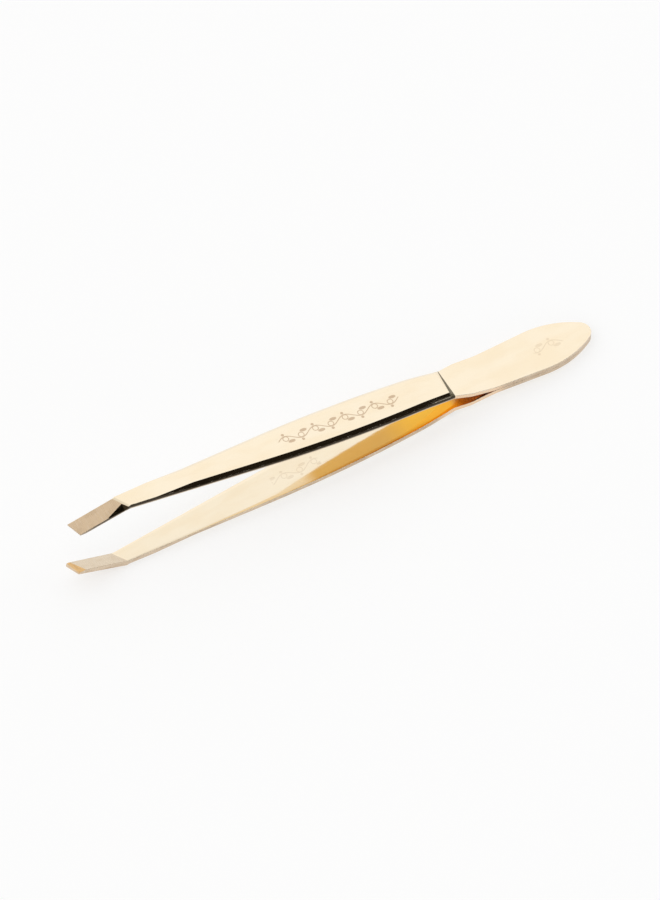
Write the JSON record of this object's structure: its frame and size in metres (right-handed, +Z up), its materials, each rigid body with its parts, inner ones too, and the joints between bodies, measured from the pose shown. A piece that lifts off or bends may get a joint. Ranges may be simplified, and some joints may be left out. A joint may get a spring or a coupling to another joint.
{
  "type": "slant tweezers",
  "caption": "Hand tweezers of two spring-steel arms welded flat at a paddle handle, with raised bevelled grips and slanted claw tips.",
  "frame": {"origin": "middle of the footprint on the table, with the tweezers lying on the raised face of the lower grip", "axes": "+X along the length towards the handle, +Y across the width, +Z up from the lower arm to the upper arm"},
  "size_m": [0.0945, 0.0082, 0.0155],
  "materials": {
    "gold_plate": "mirror-polished pale champagne-gold plating on stainless spring steel, satin-ground at the tips",
    "weld_metal": "bare resistance-weld nugget, sealed between the two strips"
  },
  "bodies": {
    "handle": {"upper_handle_leaf": "gold_plate", "lower_handle_leaf": "gold_plate", "weld_nuggets": "weld_metal"},
    "upper_grip": {"upper_arm": "gold_plate"},
    "lower_grip": {"lower_arm": "gold_plate"}
  },
  "joints": [
    {"name": "upper_arm_flex", "type": "hinge", "parent": "handle", "child": "upper_grip", "pos_m": [0.0244, 0, 0.00369], "axis": [0, -1, 0], "range_deg": [0, 3.93], "stiffness_Nm_per_rad": 1.2},
    {"name": "lower_arm_flex", "type": "hinge", "parent": "handle", "child": "lower_grip", "pos_m": [0.02423, 0, 0.00168], "axis": [0, 1, 0], "range_deg": [0, 3.93], "stiffness_Nm_per_rad": 1.2}
  ],
  "couplings": [
    {"joint": "lower_arm_flex", "follows": "upper_arm_flex", "ratio": 1}
  ]
}
